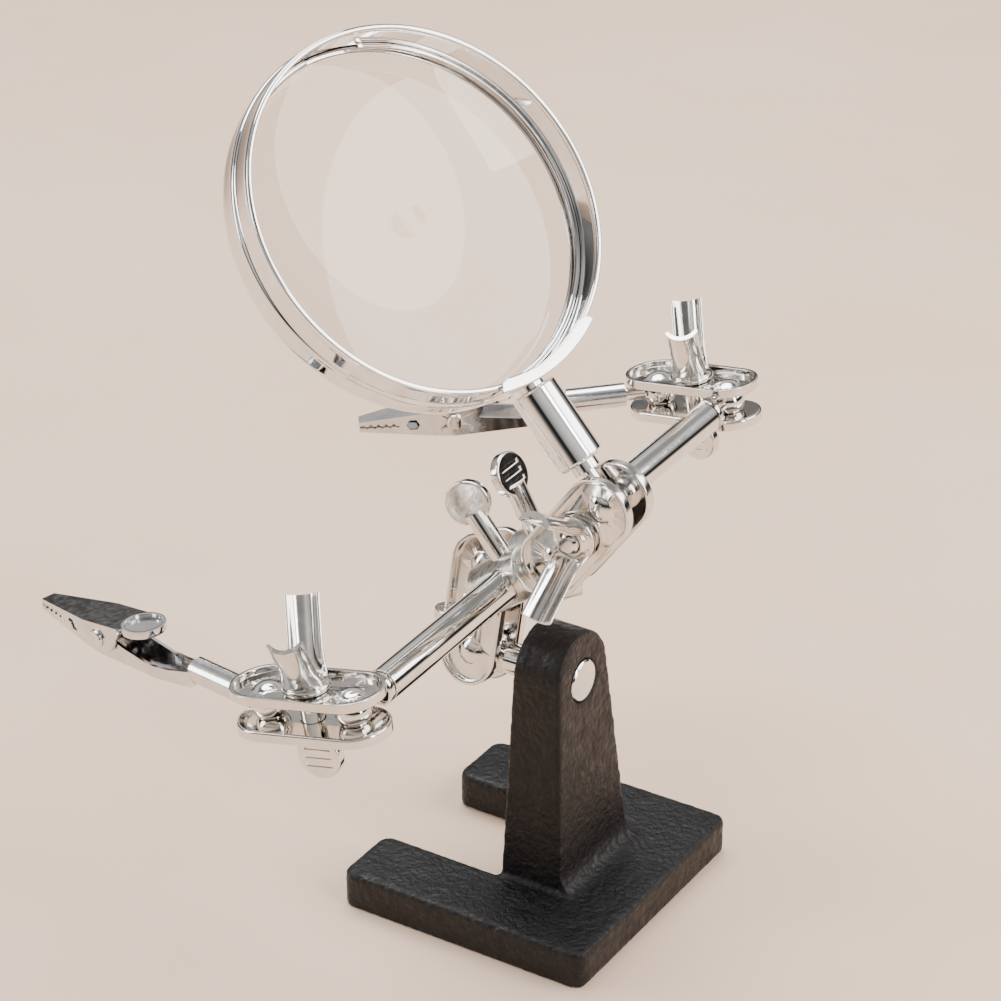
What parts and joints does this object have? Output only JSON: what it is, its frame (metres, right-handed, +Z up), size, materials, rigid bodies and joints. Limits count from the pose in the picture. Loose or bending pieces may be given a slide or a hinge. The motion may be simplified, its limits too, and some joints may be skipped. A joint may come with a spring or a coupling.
{
  "type": "helping hands magnifier",
  "caption": "Helping hands magnifier: black cast foot, ball clamps with wing nuts, a bar with two spring clips and a round chromed lens on a pivoting stem.",
  "frame": {"origin": "on the surface it stands on, under the middle of the upright's foot", "axes": "+Z up; +X from the legs of the foot to its front; the clip bar runs along Y, near end at -Y"},
  "size_m": [0.1017, 0.147, 0.1594],
  "materials": {
    "black_enamel": "cast iron under crinkled black enamel, half gloss",
    "bright_plate": "pressed steel, bright nickel plate",
    "polished_rod": "turned steel, polished nickel plate",
    "satin_nickel": "turned block, satin nickel plate",
    "clip_steel": "thin pressed steel, nickel plate",
    "spring_wire": "hard drawn spring wire",
    "mirror_chrome": "rolled ring and socket, mirror chrome",
    "lens_glass": "clear ground glass"
  },
  "bodies": {
    "base": {"base_casting": "black_enamel"},
    "pin": {"base_pin": "polished_rod"},
    "base_clamp": {"base_clamp_plate_rear": "bright_plate", "base_clamp_plate_front": "bright_plate", "base_clamp_bolt": "bright_plate"},
    "base_nut": {"base_clamp_wing_nut": "bright_plate"},
    "pivot_stud": {"pivot_stud": "polished_rod"},
    "pivot_block": {"pivot_block": "satin_nickel"},
    "pivot_screw": {"pivot_block_screw": "bright_plate"},
    "bar": {"main_bar": "polished_rod"},
    "lens_block": {"lens_block": "satin_nickel"},
    "lens_screw": {"lens_block_screw": "bright_plate"},
    "lens_stud": {"lens_stud": "polished_rod"},
    "lens_clamp": {"lens_clamp_plate_front": "bright_plate", "lens_clamp_plate_rear": "bright_plate", "lens_clamp_bolt": "bright_plate"},
    "lens_nut": {"lens_clamp_wing_nut": "bright_plate"},
    "lens_stem": {"lens_stem": "polished_rod"},
    "lens": {"lens_socket": "mirror_chrome", "lens_saddle": "bright_plate", "lens_ring": "mirror_chrome", "lens_glass": "lens_glass", "lens_keeper": "mirror_chrome"},
    "near_end": {"bar_end_near": "polished_rod"},
    "near_clamp": {"near_clamp_plate_upper": "bright_plate", "near_clamp_plate_lower": "bright_plate", "near_clamp_bolt": "bright_plate"},
    "near_nut": {"near_clamp_wing_nut": "bright_plate"},
    "near_clip_stem": {"near_clip_stem": "polished_rod"},
    "near_clip": {"near_clip_body": "clip_steel", "near_clip_rivet": "bright_plate", "near_clip_spring": "spring_wire"},
    "near_jaw": {"near_clip_jaw": "clip_steel"},
    "far_end": {"bar_end_far": "polished_rod"},
    "far_clamp": {"far_clamp_plate_upper": "bright_plate", "far_clamp_plate_lower": "bright_plate", "far_clamp_bolt": "bright_plate"},
    "far_nut": {"far_clamp_wing_nut": "bright_plate"},
    "far_clip_stem": {"far_clip_stem": "polished_rod"},
    "far_clip": {"far_clip_body": "clip_steel", "far_clip_rivet": "bright_plate", "far_clip_spring": "spring_wire"},
    "far_jaw": {"far_clip_jaw": "clip_steel"}
  },
  "joints": [
    {"name": "pin_turn", "type": "hinge", "parent": "base", "child": "pin", "pos_m": [-0.0184, 0, 0.0454], "axis": [1, 0, 0], "range_deg": [-35, 35]},
    {"name": "base_clamp_swing", "type": "hinge", "parent": "pin", "child": "base_clamp", "pos_m": [-0.0184, 0, 0.0454], "axis": [0.0802, 0.9628, -0.258], "range_deg": [-45, 5]},
    {"name": "base_nut_turn", "type": "hinge", "parent": "base_clamp", "child": "base_nut", "pos_m": [-0.0184, 0.0021, 0.05322], "axis": [0.0802, 0.9628, -0.258], "continuous": true},
    {"name": "pivot_swing", "type": "hinge", "parent": "base_clamp", "child": "pivot_stud", "pos_m": [-0.0184, 0.00419, 0.06105], "axis": [-0.0802, -0.9628, 0.258], "range_deg": [-20, 60]},
    {"name": "pivot_twist", "type": "hinge", "parent": "pivot_stud", "child": "pivot_block", "pos_m": [-0.0184, 0.00419, 0.06105], "axis": [-0.8823, 0.0422, -0.4689], "range_deg": [-2, 18]},
    {"name": "pivot_screw_turn", "type": "hinge", "parent": "pivot_block", "child": "pivot_screw", "pos_m": [-0.00693, 0.00364, 0.06714], "axis": [-0.4703, -0.0348, 0.8818], "continuous": true},
    {"name": "bar_slide", "type": "slide", "parent": "pivot_block", "child": "bar", "axis": [-0.0209, -0.9985, -0.0506], "range_m": [0, 0.03]},
    {"name": "lens_block_turn", "type": "hinge", "parent": "bar", "child": "lens_block", "pos_m": [-0.00714, -0.00624, 0.06664], "axis": [-0.0209, -0.9985, -0.0506], "range_deg": [-45, 40]},
    {"name": "lens_screw_turn", "type": "hinge", "parent": "lens_block", "child": "lens_screw", "pos_m": [-0.00714, -0.00624, 0.06664], "axis": [-0.6095, -0.0274, 0.7923], "continuous": true},
    {"name": "lens_stud_twist", "type": "hinge", "parent": "lens_block", "child": "lens_stud", "pos_m": [0.00317, -0.00686, 0.07455], "axis": [0.7925, -0.0474, 0.608], "range_deg": [-10, 10]},
    {"name": "lens_clamp_swing", "type": "hinge", "parent": "lens_stud", "child": "lens_clamp", "pos_m": [0.00317, -0.00686, 0.07455], "axis": [0.0209, 0.9985, 0.0506], "range_deg": [-50, 50]},
    {"name": "lens_nut_turn", "type": "hinge", "parent": "lens_clamp", "child": "lens_nut", "pos_m": [0.00796, -0.00729, 0.08106], "axis": [-0.0209, -0.9985, -0.0506], "continuous": true},
    {"name": "lens_stem_swing", "type": "hinge", "parent": "lens_clamp", "child": "lens_stem", "pos_m": [0.01276, -0.00772, 0.08757], "axis": [-0.0209, -0.9985, -0.0506], "range_deg": [-90, 8]},
    {"name": "lens_twist", "type": "hinge", "parent": "lens_stem", "child": "lens", "pos_m": [0.01276, -0.00772, 0.08757], "axis": [-0.6725, 0.0115, 0.74], "range_deg": [-90, 90]},
    {"name": "near_end_turn", "type": "hinge", "parent": "bar", "child": "near_end", "pos_m": [-0.00816, -0.05527, 0.06416], "axis": [-0.0209, -0.9985, -0.0506], "range_deg": [-45, 45]},
    {"name": "near_clamp_swing", "type": "hinge", "parent": "near_end", "child": "near_clamp", "pos_m": [-0.00816, -0.05527, 0.06416], "axis": [-0.1727, -0.0182, 0.9848], "range_deg": [-4, 80]},
    {"name": "near_nut_turn", "type": "hinge", "parent": "near_clamp", "child": "near_nut", "pos_m": [-0.0161, -0.0561, 0.06275], "axis": [-0.1727, -0.0182, 0.9848], "continuous": true},
    {"name": "near_clip_swing", "type": "hinge", "parent": "near_clamp", "child": "near_clip_stem", "pos_m": [-0.02403, -0.05694, 0.06135], "axis": [-0.1727, -0.0182, 0.9848], "range_deg": [-45, 75]},
    {"name": "near_clip_twist", "type": "hinge", "parent": "near_clip_stem", "child": "near_clip", "pos_m": [-0.02403, -0.05694, 0.06135], "axis": [-0.9762, 0.2075, -0.0628], "range_deg": [-90, 90]},
    {"name": "near_jaw_open", "type": "hinge", "parent": "near_clip", "child": "near_jaw", "pos_m": [-0.06359, -0.04853, 0.0591], "axis": [0.2079, 0.9781, 0], "range_deg": [0, 18], "stiffness_Nm_per_rad": 0.02, "springref_deg": -28.65, "deforming": ["near_clip_spring"]},
    {"name": "far_end_turn", "type": "hinge", "parent": "bar", "child": "far_end", "pos_m": [-0.00556, 0.06885, 0.07045], "axis": [-0.0209, -0.9985, -0.0506], "range_deg": [-45, 45]},
    {"name": "far_clamp_swing", "type": "hinge", "parent": "far_end", "child": "far_clamp", "pos_m": [-0.00556, 0.06885, 0.07045], "axis": [0.173, -0.0151, -0.9848], "range_deg": [-4, 80]},
    {"name": "far_nut_turn", "type": "hinge", "parent": "far_clamp", "child": "far_nut", "pos_m": [-0.01351, 0.06954, 0.06904], "axis": [-0.173, 0.0151, 0.9848], "continuous": true},
    {"name": "far_clip_swing", "type": "hinge", "parent": "far_clamp", "child": "far_clip_stem", "pos_m": [-0.02146, 0.07024, 0.06763], "axis": [0.173, -0.0151, -0.9848], "range_deg": [-20, 80]},
    {"name": "far_clip_twist", "type": "hinge", "parent": "far_clip_stem", "child": "far_clip", "pos_m": [-0.02146, 0.07024, 0.06763], "axis": [-0.8018, -0.5912, -0.0872], "range_deg": [-90, 90]},
    {"name": "far_jaw_open", "type": "hinge", "parent": "far_clip", "child": "far_jaw", "pos_m": [-0.05395, 0.04628, 0.0644], "axis": [-0.5934, 0.8049, 0], "range_deg": [0, 18], "stiffness_Nm_per_rad": 0.02, "springref_deg": -28.65, "deforming": ["far_clip_spring"]}
  ]
}
